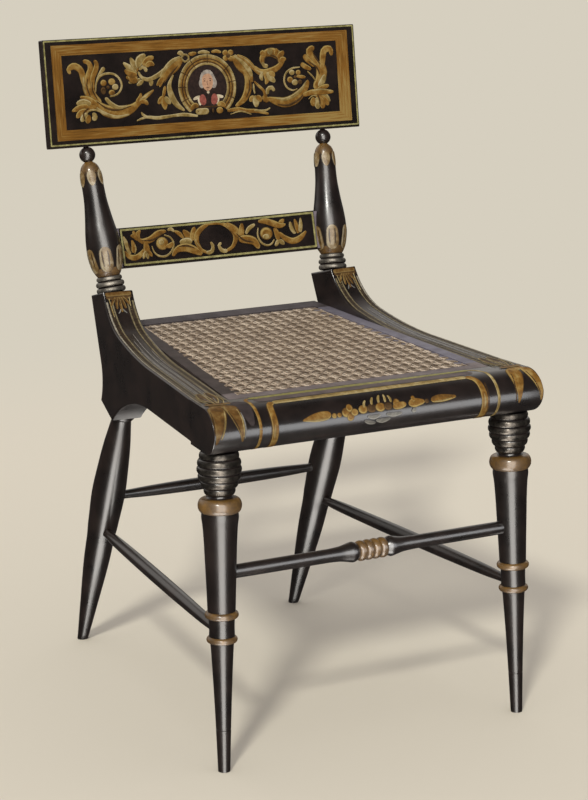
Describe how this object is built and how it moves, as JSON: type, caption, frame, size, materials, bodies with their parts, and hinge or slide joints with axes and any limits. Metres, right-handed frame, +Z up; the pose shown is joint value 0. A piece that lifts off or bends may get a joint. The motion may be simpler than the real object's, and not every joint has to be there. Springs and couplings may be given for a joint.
{
  "type": "side chair",
  "caption": "Painted side chair with turned legs and posts, scrolled side rails, a rolled front rail, a caned seat in its own frame and a broad crest tablet.",
  "frame": {"origin": "on the floor, at the centre of the outer box's base", "axes": "+Z up; the front of the seat faces -Y, so the back leans towards +Y; +X to the right of someone who looks at the chair from the front"},
  "size_m": [0.4635, 0.5498, 0.8389],
  "materials": {
    "black_painted_wood": "glossy paint with gilt ornament",
    "grey_painted_wood": "satin paint",
    "bare_softwood": "unfinished",
    "cane": "woven, satin"
  },
  "bodies": {
    "root": {"crest_tablet": "black_painted_wood", "stay_rail": "black_painted_wood", "back_post_left": "black_painted_wood", "back_post_right": "black_painted_wood", "side_rail_left": "black_painted_wood", "side_rail_right": "black_painted_wood", "front_rail": "black_painted_wood", "front_leg_left": "black_painted_wood", "front_leg_right": "black_painted_wood", "rear_leg_left": "black_painted_wood", "rear_leg_right": "black_painted_wood", "front_stretcher": "black_painted_wood", "rear_stretcher": "black_painted_wood", "side_stretcher_left": "black_painted_wood", "side_stretcher_right": "black_painted_wood", "seat_frame_front": "grey_painted_wood", "seat_frame_rear": "grey_painted_wood", "seat_frame_left": "grey_painted_wood", "seat_frame_right": "grey_painted_wood", "rear_rail": "black_painted_wood", "glue_blocks": "bare_softwood", "cane_seat": "cane"}
  },
  "joints": []
}
